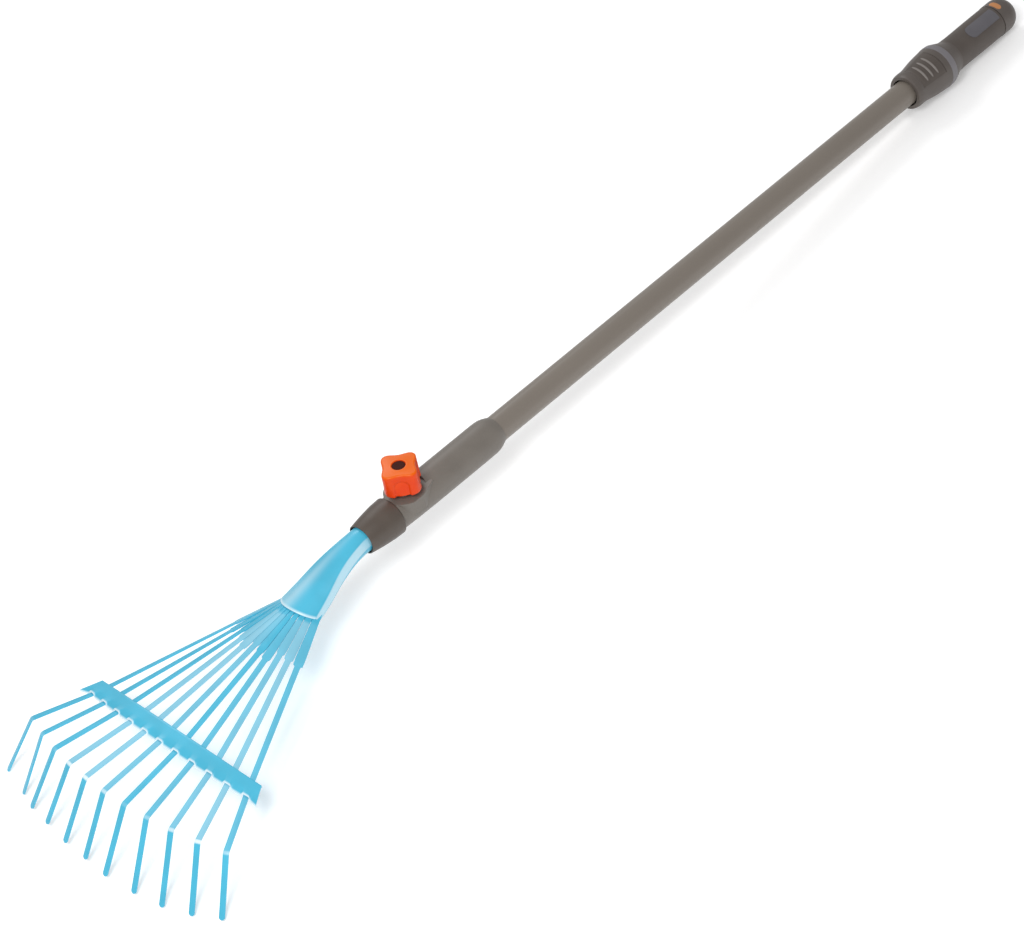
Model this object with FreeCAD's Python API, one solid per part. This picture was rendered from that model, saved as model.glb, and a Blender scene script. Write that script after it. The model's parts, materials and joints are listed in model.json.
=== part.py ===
"""Leaf rake with a plug-in head and a telescopic handle.

Every piece is drawn in the tool frame: Y runs along the handle towards the grip, with 0 where
the head's collar meets the handle's socket, Z is the clamping knob's side and X is to the right.
At the end the tool is laid down as it rests on flat ground, on its outer tine tips and on the
end of its grip, with the origin at the centre of its footprint.  Sizes are in millimetres.
"""
import FreeCAD, Part
import math
import os

V = FreeCAD.Vector
X_AXIS = V(1, 0, 0)
Y_AXIS = V(0, 1, 0)
Z_AXIS = V(0, 0, 1)
CENTRE = V(0, 0, 0)
RUNNING = 0.1            # radial clearance of a piece that slides or turns in another
GAP = 0.3                # clearance between pieces that only pass each other

# Tines and crossbar
TINES = 11
OUTERMOST = (TINES - 1) / 2
TINE_WIDTH = 5.4
TINE_THICKNESS = 1.4
SLIT = 0.35              # cut between neighbouring roots
ROOT_LENGTH = 50.0       # from the ferrule's mouth to the shoulder where a root narrows
ROOT_STAGGER = 5.0       # shoulders alternate by this much from tine to tine
ROOT = (-120.0, 3.35, 10.5)                  # y and pitch on the centre line, then how far the
MOUTH = (-138.0, 4.4, 12.5)                  # outermost tine is set back
MOUTH_Z = -10.9
BAR = (-300.0, 20.4, 5.3, -36.2, 9.4)        # ahead of the ferrule: the same, then z and how far
KNEE = (-376.3, 26.9, 22.9, -39.7, 11.5)     # the outermost tine is lower
TIP = (-416.4, 30.0, 29.0, -97.4, 4.9)
BAR_HALF_LENGTH = 113.0
BAR_WIDTH = 20.0
BAR_THICKNESS = 1.2
BAR_LIP = 4.2            # depth of the turned-down front and rear edges
BAR_NOTCH = 7.6          # width of the notch in them over each tine
BAR_SEAT = 0.9           # room between the tines' bend and the underside of the plate
BAR_NOTCH_ROOM = 0.75    # height of the notches above the tines' bend

# Ferrule and the plug of the head
FERRULE_RADIUS = 13.0
FERRULE_WALL = 1.2
FERRULE_REAR = -12.0
FERRULE_ROUND_TO = -46.0
FERRULE_BEND = 44.0      # length over which it curves down to the tines' line
MOUTH_HALF_WIDTH = 27.9
MOUTH_HALF_HEIGHT = 2.9
MOUTH_ARCH = 0.0205      # height lost at the mouth per square of the distance from its middle
LIP_RADIUS = 31.0
COLLAR_LENGTH = 41.0
COLLAR_REAR_RADIUS = 20.0
COLLAR_FRONT_RADIUS = 15.0
PLUG_RADIUS = 12.9
PLUG_LENGTH = 68.0
PLUG_FLAT = 11.3         # height of the flat that the clamping stud presses on
SPIGOT_LENGTH = 44.0

# Socket at the handle's lower end
SOCKET_RADIUS = 18.5
SOCKET_END = 141.5
SOCKET_WEB = (72.0, 78.0)
BOSS_TOP = 15.6          # flat under the knob, cut into the socket's round top
BOSS_RADIUS = 20.5
BOSS_HALF_WIDTH = 19.7
BOSS_EDGE = 0.6          # rounding around its top
BOSS_TAIL = (46.0, 13.0)                     # y and half width where it runs out to the rear
INSERT_END = 12.2
KNOB_Y = 20.4

# Clamping knob
STUD_RADIUS = 3.0
INSERT_RADIUS = 5.0
WASHER_TOP = BOSS_TOP + 1.8
NECK_RADIUS = 9.0
KNOB_BASE = 23.1
KNOB_HEIGHT = 25.0
KNOB_FOOT = (19.6, 0.8)  # mean radius and height of the lobes: nearly round at the foot,
KNOB_HEAD = (18.3, 2.0)  # and a rounded square at the top
KNOB_TURNED = 47.0       # degrees that the knob stands turned on its stud at rest
CAP_RADIUS = 6.6

# Telescopic pole
TUBE_RADIUS = 14.0
TUBE_WALL = 1.2
TUBE_END = 930.0
INNER_RADIUS = 11.5
INNER_WALL = 1.0
INNER_START = 345.0
INNER_END = 958.0
COLLET_START = 309.0
COLLET_END = 338.0

# Grip
GRIP_ROLL = 24.0         # degrees that the grip stands turned about the pole at rest
GRIP_MOUTH = 791.3
GRIP_CORE_END = 958.0
HOLD_RADIUS = 19.1
HOLD = (870.0, 947.0)
CORE_RADIUS = 17.2
CAVITY_RADIUS = 15.9
CAP_FRONT = 948.0
CAP_CENTRE = 961.0
CAP_RADIUS_Y = 18.5      # length of the end cap's dome
BAND = (844.0, 852.5)                        # ring let into the grip's bulge
BAND_DEPTH = 1.4
INLAY = (895.0, 947.0, 7.9)                  # ends along the grip and half width
PAD = (801.0, 836.0, 44.0)                   # ends along the sleeve and half angle in degrees
PAD_RIBS = (809.5, 817.5, 825.5)
BADGE = (953.5, -20.0, 3.6, 3.8)             # y, roll, half width and reach to each end's centre
BADGE_DEPTH = 0.9


def box(low, high):
    """Box between two opposite corners."""
    return Part.makeBox(high[0] - low[0], high[1] - low[1], high[2] - low[2], V(*low))


def rod(radius, start, end, direction=Y_AXIS, at=CENTRE):
    """Round bar along a direction, between two distances from a point."""
    return Part.makeCylinder(radius, end - start, at + direction * start, direction)


def turned(outer, inner, smooth=False):
    """Solid turned about the handle's axis; both outlines are (y, radius) from front to rear."""
    front = [V(0, y, radius) for y, radius in outer]
    back = [V(0, y, radius) for y, radius in reversed(inner)]
    if smooth:
        curve = Part.BSplineCurve()
        curve.interpolate(front)
        edges = [curve.toShape()]
    else:
        edges = [Part.LineSegment(a, b).toShape() for a, b in zip(front, front[1:])]
    rest = [front[-1]] + back + [front[0]]
    edges += [Part.LineSegment(a, b).toShape() for a, b in zip(rest, rest[1:])
              if (b - a).Length > 1e-6]
    wire = Part.Wire(edges)
    return Part.Face(wire).revolve(CENTRE, Y_AXIS, 360)


def spread(station, place):
    """Point of the tine at place -1..1 across the fan, on one of the stations."""
    y, pitch, set_back = station[:3]
    x = pitch * place * OUTERMOST
    y += set_back * place ** 2
    if station in (ROOT, MOUTH):
        return V(x, y, ferrule_line(y) - ferrule_arch(y) * x * x)
    z, drop = station[3:]
    return V(x, y, z - drop * place ** 2)


def pitch_at(station, place):
    """Step from a tine to its right-hand neighbour on one of the stations."""
    step = 1 / OUTERMOST
    return spread(station, place + step / 2) - spread(station, place - step / 2)


def square_to(vector, along):
    """Part of a vector that is square to a unit direction."""
    return vector - along * vector.dot(along)


def strip_section(centre, along, side, width):
    """Rectangle of a tine's section, square to the direction it runs in."""
    side = square_to(side, along).normalize()
    up = side.cross(along).normalize()
    w = side * (width / 2)
    t = up * (TINE_THICKNESS / 2)
    corners = [centre - w - t, centre + w - t, centre + w + t, centre - w + t]
    return Part.makePolygon(corners + corners[:1])


def mitre(before, after):
    """Direction that halves the bend between two runs."""
    return (before.normalize() + after.normalize()).normalize()


def tine(number):
    """One spring-steel strip: tapered root, shoulder, straight run, knee and rounded tip."""
    place = (number - 1 - OUTERMOST) / OUTERMOST
    root, mouth, bar, knee, tip = [spread(s, place) for s in (ROOT, MOUTH, BAR, KNEE, TIP)]
    held = (mouth - root).normalize()
    run = (bar - mouth).normalize()
    lower = (knee - bar).normalize()
    drop = (tip - knee).normalize()
    bend = lower.cross(drop).normalize()
    length = ROOT_LENGTH + ROOT_STAGGER * (number % 3 - 1)
    share = length / (bar - mouth).Length
    at_root = square_to(pitch_at(ROOT, place), held)
    at_mouth = square_to(pitch_at(MOUTH, place), run)
    at_bar = square_to(pitch_at(BAR, place), run)
    at_shoulder = at_mouth * (1 - share) + at_bar * share
    stations = [
        (root, held, at_root, at_root.Length - SLIT),
        (mouth, mitre(held, run), at_mouth, at_mouth.Length - SLIT),
        (mouth + run * length, run, at_shoulder, at_shoulder.Length * 0.96 - SLIT),
        (mouth + run * (length + 1.2), run, at_shoulder, TINE_WIDTH),
        (bar, mitre(run, lower), bend, TINE_WIDTH),
        (knee, mitre(lower, drop), bend, TINE_WIDTH),
        (tip - drop * (TINE_WIDTH / 2), drop, bend, TINE_WIDTH),
    ]
    sections = []
    for centre, along, side, width in stations:
        sections.append(strip_section(centre, along, side, width))
    strip = Part.makeLoft(sections, True, True)
    flat = bend.cross(drop).normalize()
    end = rod(TINE_WIDTH / 2, -TINE_THICKNESS / 2, TINE_THICKNESS / 2, flat,
              tip - drop * (TINE_WIDTH / 2))
    return strip.fuse(end).removeSplitter()


def across_bend(place):
    """Direction in which the crossbar lies over a tine's bend."""
    mouth, bar, knee = [spread(station, place) for station in (MOUTH, BAR, KNEE)]
    return mitre(bar - mouth, knee - bar)


def crossbar():
    """Pressed plate over the tines, bowed with the fan, its edges turned down between them."""
    half_sag = math.hypot(BAR[2], BAR[4])
    reach = BAR[1] * OUTERMOST
    radius = (reach ** 2 + half_sag ** 2) / (2 * half_sag)
    sag = V(0, BAR[2], -BAR[4]).normalize()
    axis = X_AXIS.cross(sag)
    lie = across_bend(0)
    up = V(0, lie.z, -lie.y)
    middle = spread(BAR, 0) + up * (TINE_THICKNESS / 2 + BAR_SEAT)
    half = BAR_WIDTH / 2

    def at(along, height):
        return middle + lie * along + up * height

    outline = [at(-half, -BAR_LIP), at(-half, BAR_THICKNESS), at(half, BAR_THICKNESS),
               at(half, -BAR_LIP), at(half - BAR_THICKNESS, -BAR_LIP),
               at(half - BAR_THICKNESS, 0), at(BAR_THICKNESS - half, 0),
               at(BAR_THICKNESS - half, -BAR_LIP)]
    half_angle = math.degrees(BAR_HALF_LENGTH / radius)
    face = Part.Face(Part.makePolygon(outline + outline[:1]))
    hub = middle + sag * radius
    face.rotate(hub, axis, -half_angle)
    plate = face.revolve(hub, axis, 2 * half_angle)
    for number in range(1, TINES + 1):
        place = (number - 1 - OUTERMOST) / OUTERMOST
        centre = spread(BAR, place)
        back = across_bend(place) * -1
        side = square_to(pitch_at(BAR, place), back).normalize()
        normal = side.cross(back).normalize()
        base = centre - side * (BAR_NOTCH / 2) - back * BAR_WIDTH - normal * (BAR_LIP + 3)
        depth = BAR_LIP + 3 + TINE_THICKNESS / 2 + BAR_NOTCH_ROOM
        notch = Part.makeBox(BAR_NOTCH, 2 * BAR_WIDTH, depth)
        turn = FreeCAD.Matrix(side.x, back.x, normal.x, base.x, side.y, back.y, normal.y, base.y,
                              side.z, back.z, normal.z, base.z, 0, 0, 0, 1)
        plate = plate.cut(notch.transformGeometry(turn))
    return plate


def ferrule_line(y):
    """Height of the ferrule's middle: level, then curving down onto the line of the tines."""
    slope = (BAR[3] - MOUTH_Z) / (BAR[0] - MOUTH[0])
    along = max(0.0, FERRULE_ROUND_TO - y)
    curved = min(along, FERRULE_BEND)
    return -slope * (curved ** 2 / (2 * FERRULE_BEND) + along - curved)


def ferrule_ease(y):
    """Share of the change from the round section to the arched one, done well before the mouth."""
    share = (FERRULE_ROUND_TO - y) / (FERRULE_ROUND_TO - MOUTH[0])
    ease = min(1.0, max(0.0, share * 1.35))
    return ease * ease * (3 - 2 * ease)


def ferrule_arch(y):
    """Height lost at one place per square of the distance from the middle."""
    return ferrule_ease(y) * MOUTH_ARCH


def ferrule_section(y, shrink):
    """Closed outline at one place, from the round tube to the flat, arched mouth."""
    along = max(0.0, (FERRULE_ROUND_TO - y) / (FERRULE_ROUND_TO - MOUTH[0]))
    half_width = FERRULE_RADIUS + (MOUTH_HALF_WIDTH - FERRULE_RADIUS) * along * (0.8 + 0.3 * along)
    flat = (1 - along) if along < 1 else 0.0
    half_height = MOUTH_HALF_HEIGHT + (FERRULE_RADIUS - MOUTH_HALF_HEIGHT) * flat ** 1.5
    power = 2 / (2 + 3 * ferrule_ease(y))
    points = []
    for step in range(32):
        angle = 2 * math.pi * step / 32
        c, s = math.cos(angle), math.sin(angle)
        x = (half_width - shrink) * math.copysign(abs(c) ** power, c)
        h = (half_height - shrink) * math.copysign(abs(s) ** power, s)
        points.append(V(x, y, ferrule_line(y) + h - ferrule_arch(y) * x * x))
    curve = Part.BSplineCurve()
    curve.interpolate(points, PeriodicFlag=True)
    return Part.Wire([curve.toShape()])


def ferrule_form(shrink):
    """Solid form of the ferrule, made smaller all round by a wall."""
    front = MOUTH[0] - 4
    count = 10
    places = [FERRULE_REAR]
    for step in range(count + 1):
        places.append(FERRULE_ROUND_TO + (front - FERRULE_ROUND_TO) * step / count)
    return Part.makeLoft([ferrule_section(y, shrink) for y in places], True, True)


def ferrule():
    """Socket of the head: a tube drawn out into a flat, arched mouth that grips the tines."""
    lip_y = MOUTH[0] - 1.0
    front_block = box((-60, lip_y - 60, -60), (60, lip_y + LIP_RADIUS, 60))
    lip = front_block.cut(rod(LIP_RADIUS, -60, 60, Z_AXIS, V(0, lip_y + LIP_RADIUS, 0)))
    shell = ferrule_form(0).cut(ferrule_form(FERRULE_WALL)).cut(lip)
    return shell.cut(plug_pin(0.05))


def tool_collar():
    """Dark sleeve around the ferrule's root, tapering towards the head."""
    r0, r1 = COLLAR_FRONT_RADIUS, COLLAR_REAR_RADIUS
    front = -COLLAR_LENGTH
    outer = [(front, r0), (front + 1.5, r0 + 1.1), (front + 14, r0 + 3.3), (front + 28, r0 + 4.7),
             (-2.0, r1), (0, r1 - 0.4)]
    bore = FERRULE_RADIUS + 0.1
    inner = [(front, bore), (FERRULE_REAR, bore), (FERRULE_REAR, bore + 3.0), (0, bore + 3.0)]
    return turned(outer, inner, smooth=True)


def tool_plug():
    """Core of the head's coupling: spigot in the ferrule, flange, and keyed tongue."""
    spigot = FERRULE_RADIUS - FERRULE_WALL - 0.05
    outer = [(-SPIGOT_LENGTH, spigot - 1), (-SPIGOT_LENGTH + 1, spigot),
             (FERRULE_REAR, spigot), (FERRULE_REAR, FERRULE_RADIUS + 3.0),
             (0, FERRULE_RADIUS + 3.0), (0, PLUG_RADIUS), (PLUG_LENGTH - 2, PLUG_RADIUS),
             (PLUG_LENGTH, PLUG_RADIUS - 2)]
    inner = [(-SPIGOT_LENGTH, 7.0), (-20.0, 7.0), (-20.0, 0), (20.0 + KNOB_Y, 0),
             (20.0 + KNOB_Y, 8.0), (PLUG_LENGTH, 8.0)]
    plug = turned(outer, inner)
    flat = box((-20, 0.01, PLUG_FLAT), (20, PLUG_LENGTH + 5, 20))
    return plug.cut(flat).cut(plug_pin(0.05))


def plug_pin(extra=0.0):
    """Cross pin that holds the ferrule on the plug's spigot."""
    half = FERRULE_RADIUS - 0.35
    return rod(2.5 + extra, -half, half, X_AXIS, V(0, -29, 0))


def adapter_socket():
    """Moulded socket on the lower end of the pole, with the boss that carries the knob."""
    start = GAP
    r = SOCKET_RADIUS
    end = SOCKET_END
    outer = [(start, r - 0.9), (30, r - 0.2), (75, r), (120, r), (128, r - 0.15), (134, r - 0.9),
             (138.5, r - 2.4), (end, r - 3.6)]
    body = turned(outer, [(start, 0), (end, 0)], smooth=True)
    foot = V(0, KNOB_Y, 0)
    half, (tail, tail_half) = BOSS_HALF_WIDTH, BOSS_TAIL
    disc = rod(BOSS_RADIUS, 0, BOSS_TOP, Z_AXIS, foot)
    disc = disc.common(box((-half, start, 0), (half, tail, BOSS_TOP)))
    corners = [V(-half, KNOB_Y, 0), V(half, KNOB_Y, 0), V(half, KNOB_Y + 6, 0),
               V(tail_half, tail, 0), V(-tail_half, tail, 0), V(-half, KNOB_Y + 6, 0)]
    rear = Part.Face(Part.makePolygon(corners + corners[:1])).extrude(Z_AXIS * BOSS_TOP)
    body = body.cut(rod(BOSS_RADIUS + 1, BOSS_TOP, 30, Z_AXIS, foot))
    for form in (disc, rear):
        rim = [e for e in form.Edges if all(v.Z > BOSS_TOP - 0.01 for v in e.Vertexes)]
        body = body.fuse(form.makeFillet(BOSS_EDGE, rim))
    body = body.cut(rod(PLUG_RADIUS + RUNNING, 0, SOCKET_WEB[0]))
    body = body.cut(rod(TUBE_RADIUS + 0.05, SOCKET_WEB[1], end + 1))
    return body.cut(rod(INSERT_RADIUS, 8, BOSS_TOP + 1, Z_AXIS, foot)).removeSplitter()


def thread_insert():
    """Brass nut moulded into the boss; its thread is drawn as a plain hole."""
    foot = V(0, KNOB_Y, 0)
    sleeve = rod(INSERT_RADIUS - 0.02, INSERT_END, BOSS_TOP, Z_AXIS, foot)
    return sleeve.cut(rod(STUD_RADIUS + 0.05, 10, BOSS_TOP + 1, Z_AXIS, foot))


def outer_tube():
    """Coated steel tube fixed in the socket."""
    return rod(TUBE_RADIUS, SOCKET_WEB[1] + 0.2, TUBE_END).cut(
        rod(TUBE_RADIUS - TUBE_WALL, 0, TUBE_END + 1))


def tube_end_bush():
    """Plastic bush in the outer tube's upper end that guides the inner tube."""
    bore = INNER_RADIUS + RUNNING
    seat = TUBE_RADIUS - TUBE_WALL - 0.02
    rear = TUBE_END + 2.0
    outer = [(TUBE_END - 28, seat), (TUBE_END, seat), (TUBE_END, TUBE_RADIUS - 0.2),
             (rear, TUBE_RADIUS - 0.2)]
    return turned(outer, [(TUBE_END - 28, bore), (rear, bore)])


def knob_washer():
    """Plain washer that the knob's neck turns on."""
    foot = V(0, KNOB_Y, 0)
    disc = rod(NECK_RADIUS, BOSS_TOP + GAP, WASHER_TOP, Z_AXIS, foot)
    return disc.cut(rod(STUD_RADIUS + GAP, 0, KNOB_BASE, Z_AXIS, foot))


def lobed_outline(height, mean, lobe):
    """Rounded square with four lobes, seen from above."""
    points = []
    for step in range(32):
        angle = 2 * math.pi * step / 32
        radius = mean - lobe * math.cos(4 * angle)
        turn = angle + math.radians(KNOB_TURNED)
        points.append(V(radius * math.cos(turn), KNOB_Y + radius * math.sin(turn), height))
    curve = Part.BSplineCurve()
    curve.interpolate(points, PeriodicFlag=True)
    return Part.Wire([curve.toShape()])


def star_knob():
    """Clamping knob: nearly round foot, four-lobed head with a rounded edge, and a neck below."""
    top = KNOB_BASE + KNOB_HEIGHT
    (foot_radius, foot_lobe), (radius, lobe) = KNOB_FOOT, KNOB_HEAD
    levels = [(KNOB_BASE, foot_radius - 0.8, foot_lobe), (KNOB_BASE + 1.5, foot_radius, foot_lobe),
              (top - 2.4, radius, lobe), (top - 0.8, radius - 0.7, lobe), (top, radius - 2.0, lobe)]
    foot = V(0, KNOB_Y, 0)
    body = Part.makeLoft([lobed_outline(*level) for level in levels], True, True)
    body = body.fuse(rod(NECK_RADIUS, WASHER_TOP + GAP, KNOB_BASE + 1, Z_AXIS, foot))
    body = body.cut(rod(STUD_RADIUS + 0.02, 0, top + 1, Z_AXIS, foot))
    body = body.cut(rod(5.6, top - 12, top + 1, Z_AXIS, foot))
    return body.cut(rod(CAP_RADIUS, top - 2.5, top + 1, Z_AXIS, foot))


def clamp_stud():
    """Screw moulded into the knob; its tip stops just above the plug's flat."""
    foot = V(0, KNOB_Y, 0)
    top = KNOB_BASE + KNOB_HEIGHT
    head = rod(5.5, top - 12, top - 7, Z_AXIS, foot)
    return rod(STUD_RADIUS, PLUG_FLAT + GAP, top - 12, Z_AXIS, foot).fuse(head)


def knob_cap():
    """Push-in plug that closes the knob's top."""
    foot = V(0, KNOB_Y, 0)
    top = KNOB_BASE + KNOB_HEIGHT
    cap = rod(CAP_RADIUS - 0.05, top - 2.45, top + 0.4, Z_AXIS, foot)
    rim = cap.Edges[0] if cap.Edges[0].CenterOfMass.z > top else cap.Edges[2]
    return cap.makeFillet(0.3, [rim]).fuse(rod(5.5, top - 6.9, top - 2.45, Z_AXIS, foot))


def lock_collet():
    """Slotted sleeve that the cone spreads against the outer tube."""
    outside = TUBE_RADIUS - TUBE_WALL - RUNNING
    outer = [(COLLET_START, outside), (COLLET_END, outside)]
    inner = [(COLLET_START, STUD_RADIUS + RUNNING), (COLLET_START + 7, STUD_RADIUS + RUNNING),
             (COLLET_START + 7, 7.2), (COLLET_END, 10.2)]
    sleeve = turned(outer, inner)
    for direction in (X_AXIS, Z_AXIS):
        across = direction.cross(Y_AXIS)
        low = V(0, COLLET_START + 9, 0) - direction * 20 - across * 1.0
        high = V(0, COLLET_END + 1, 0) + direction * 20 + across * 1.0
        corners = [[min(a, b) for a, b in zip(low, high)], [max(a, b) for a, b in zip(low, high)]]
        sleeve = sleeve.cut(box(*corners))
    return sleeve


def lock_cone():
    """Cone and screw on the end of the inner tube; turning the grip draws it into the collet."""
    seat = INNER_RADIUS - INNER_WALL - 0.02
    outer = [(COLLET_START - 7, STUD_RADIUS), (COLLET_START + 7.5, STUD_RADIUS),
             (COLLET_START + 7.5, 6.7), (COLLET_END + 1, 9.7), (COLLET_END + 1, INNER_RADIUS),
             (INNER_START - 0.1, INNER_RADIUS), (INNER_START - 0.1, seat),
             (INNER_START + 28, seat)]
    return turned(outer, [(COLLET_START - 7, 0), (INNER_START + 28, 0)])


def lock_nut():
    """Nut that keeps the collet on the screw."""
    nut = rod(6.0, COLLET_START - 6.5, COLLET_START - GAP)
    return nut.cut(rod(STUD_RADIUS, 0, COLLET_END))


def inner_tube():
    """Steel tube that slides in the outer tube and carries the grip."""
    tube = rod(INNER_RADIUS, INNER_START, INNER_END - 0.2)
    return tube.cut(rod(INNER_RADIUS - INNER_WALL, 0, INNER_END + 1)).cut(grip_pin(0.03))


def grip_pin(extra=0.0):
    """Cross pin that holds the grip on the inner tube."""
    return rod(2.0 + extra, -16.4, 16.4, X_AXIS, V(0, 953.0, 0))


def sleeve_outline():
    """Outer (y, radius) points of the grip's sleeve and bulge, up to the hold."""
    return [(GRIP_MOUTH, 19.4), (GRIP_MOUTH + 1.2, 20.0), (GRIP_MOUTH + 12, 20.8),
            (GRIP_MOUTH + 26, 22.4), (GRIP_MOUTH + 40, 24.1), (842.0, 24.8), (848.0, 25.0),
            (852.5, 24.6), (857.0, 23.1), (862.0, 21.2), (866.0, 19.8), (HOLD[0], 19.3)]


def sleeve_radius(y):
    """Outer radius of the sleeve at a place along it."""
    points = sleeve_outline()
    for (y0, r0), (y1, r1) in zip(points, points[1:]):
        if y0 <= y <= y1:
            return r0 + (r1 - r0) * (y - y0) / (y1 - y0)
    return points[-1][1]


def slot_form(extra):
    """Upright block with rounded ends in which the grip's inlay lies."""
    start, end, half = INLAY
    half += extra
    body = box((-half, start + INLAY[2], 0), (half, end - 3 + extra, 30))
    return body.fuse(rod(half, 0, 30, Z_AXIS, V(0, start + INLAY[2], 0)))


def pad_band(extra, rib):
    """Part of a ring let into the sleeve's top, with ribs of one height, or its recess for 0."""
    start, end, half_angle = PAD
    places = [start - extra]
    for y in PAD_RIBS:
        places += [y - 1.6, y, y + 1.6]
    places.append(end + extra)
    raised = [3.0 if rib == 0 else rib if y in PAD_RIBS else 0.05 for y in places]
    outer = [V(0, y, sleeve_radius(y) + height) for y, height in zip(places, raised)]
    inner = [V(0, y, sleeve_radius(y) - 1.5 - extra) for y in reversed(places)]
    face = Part.Face(Part.makePolygon(outer + inner + outer[:1]))
    half_angle += extra
    face.rotate(CENTRE, Y_AXIS, -half_angle)
    return face.revolve(CENTRE, Y_AXIS, 2 * half_angle)


def grip_body():
    """Hard core of the grip: sleeve over the outer tube, bulge, and core under the soft hold."""
    core = rod(CORE_RADIUS, HOLD[0], GRIP_CORE_END)
    body = turned(sleeve_outline(), [(GRIP_MOUTH, 0), (HOLD[0], 0)], smooth=True).fuse(core)
    body = body.cut(rod(CAVITY_RADIUS, 0, 942)).cut(rod(INNER_RADIUS + 0.02, 900, 1000))
    body = body.cut(band_form(0.03, 2.0))
    return body.cut(pad_band(0.25, 0)).cut(grip_pin(0.03)).removeSplitter()


def band_form(extra, proud):
    """Ring that follows the bulge, standing proud of it."""
    start, end = BAND[0] - extra, BAND[1] + extra
    outer = [(y, sleeve_radius(y) + proud) for y in (start, sum(BAND) / 2, end)]
    inner = [(y, sleeve_radius(y) - BAND_DEPTH - extra) for y in (start, end)]
    return turned(outer, inner)


def grip_band():
    """Hard ring let into the bulge."""
    return band_form(0, 0.25)


def thumb_pad():
    """Soft pad let into the sleeve, with three raised ribs."""
    return pad_band(0, 0.9)


def soft_grip():
    """Soft sleeve around the hold."""
    r = HOLD_RADIUS
    outer = [(HOLD[0] + 0.1, 19.2), (885, r - 0.25), (905, r - 0.1), (925, r), (HOLD[1], r)]
    bore = CORE_RADIUS + 0.02
    sleeve = turned(outer, [(HOLD[0] + 0.1, bore), (HOLD[1], bore)], smooth=True)
    return sleeve.cut(slot_form(0.1))


def label_inlay():
    """Plain hard inlay along the top of the hold."""
    band = rod(HOLD_RADIUS + 0.15, 800, 1000).cut(rod(CORE_RADIUS + 0.05, 800, 1000))
    return band.common(slot_form(0)).common(box((-20, 800, 0), (20, HOLD[1] - 0.1, 30)))


def end_cap():
    """Domed cap on the grip's end."""
    r = HOLD_RADIUS + 0.3
    dome = [(CAP_CENTRE + CAP_RADIUS_Y * math.sin(math.radians(a)), r * math.cos(math.radians(a)))
            for a in (0, 15, 30, 45, 60, 75)]
    dome.append((CAP_CENTRE + CAP_RADIUS_Y, 0.0))
    skirt = rod(r, CAP_FRONT, CAP_CENTRE)
    dome_curve = turned(dome, [(CAP_CENTRE, 0.0)], smooth=True)
    cap = skirt.fuse(dome_curve)
    cap = cap.cut(rod(CORE_RADIUS + 0.05, 0, GRIP_CORE_END + 0.2))
    return cap.cut(badge_form(0.03, 1.0)).removeSplitter()


def badge_form(extra, proud):
    """Long oval with its length around the cap, from its depth in the skirt outwards."""
    y, roll, half, reach = BADGE
    half += extra
    form = box((-reach, y - half, 0), (reach, y + half, 30))
    for x in (-reach, reach):
        form = form.fuse(rod(half, 0, 30, Z_AXIS, V(x, y, 0)))
    form.rotate(CENTRE, Y_AXIS, roll)
    r = HOLD_RADIUS + 0.3
    band = rod(r + proud, CAP_FRONT, CAP_CENTRE).cut(rod(r - BADGE_DEPTH - extra, 900, 1000))
    return form.common(band)


def cap_badge():
    """Plain coloured insert in the end cap."""
    return badge_form(0, 0.1)


def rolled(shape):
    """Turn a grip piece about the pole to where the grip stands."""
    shape = shape.copy()
    shape.rotate(CENTRE, Y_AXIS, GRIP_ROLL)
    return shape


def build():
    """Every sub-part in the tool frame, by node name."""
    parts = {"ferrule": ferrule(), "crossbar": crossbar(), "tool_collar": tool_collar(),
             "tool_plug": tool_plug(), "plug_pin": plug_pin()}
    for number in range(1, TINES + 1):
        parts["tine_%02d" % number] = tine(number)
    parts.update({"adapter_socket": adapter_socket(), "thread_insert": thread_insert(),
                  "outer_tube": outer_tube(), "tube_end_bush": tube_end_bush()})
    parts.update({"knob_washer": knob_washer(), "star_knob": star_knob(),
                  "clamp_stud": clamp_stud(), "knob_cap": knob_cap()})
    parts.update({"lock_collet": lock_collet(), "lock_cone": lock_cone(), "lock_nut": lock_nut()})
    for make in (inner_tube, grip_pin, grip_body, grip_band, thumb_pad, soft_grip, label_inlay,
                 end_cap, cap_badge):
        parts[make.__name__] = rolled(make())
    return parts


def rest_tilt():
    """Angle by which the handle slopes down to its grip when the rake lies on flat ground."""
    tip = spread(TIP, 1.0)
    return math.degrees(math.atan2(-HOLD_RADIUS - tip.z, CAP_CENTRE - tip.y))


def lay_down(parts):
    """Lay the tool on the ground and move the centre of its footprint to the origin."""
    tilt = rest_tilt()
    for shape in parts.values():
        shape.rotate(CENTRE, X_AXIS, -tilt)
    bound = FreeCAD.BoundBox()
    for shape in parts.values():
        bound.add(shape.optimalBoundingBox(False))
    shift = V(-(bound.XMin + bound.XMax) / 2, -(bound.YMin + bound.YMax) / 2, -bound.ZMin)
    for shape in parts.values():
        shape.translate(shift)
    return tilt, shift, bound


os.makedirs("parts", exist_ok=True)
PARTS = build()
TILT, SHIFT, BOUND = lay_down(PARTS)
for name, shape in PARTS.items():
    shape.exportStep("parts/%s.step" % name)
    print(name, shape.ShapeType, len(shape.Solids), shape.isValid(), round(shape.Volume, 1))
print("tilt", TILT, "shift", SHIFT, "size", BOUND.XLength, BOUND.YLength, BOUND.ZLength)
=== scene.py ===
"""Leaf rake: spring tines, crossbar and ferrule on a plug-in head, in a telescopic handle."""
import json
import math

import bmesh
import bpy
from mathutils import Matrix, Vector


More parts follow.
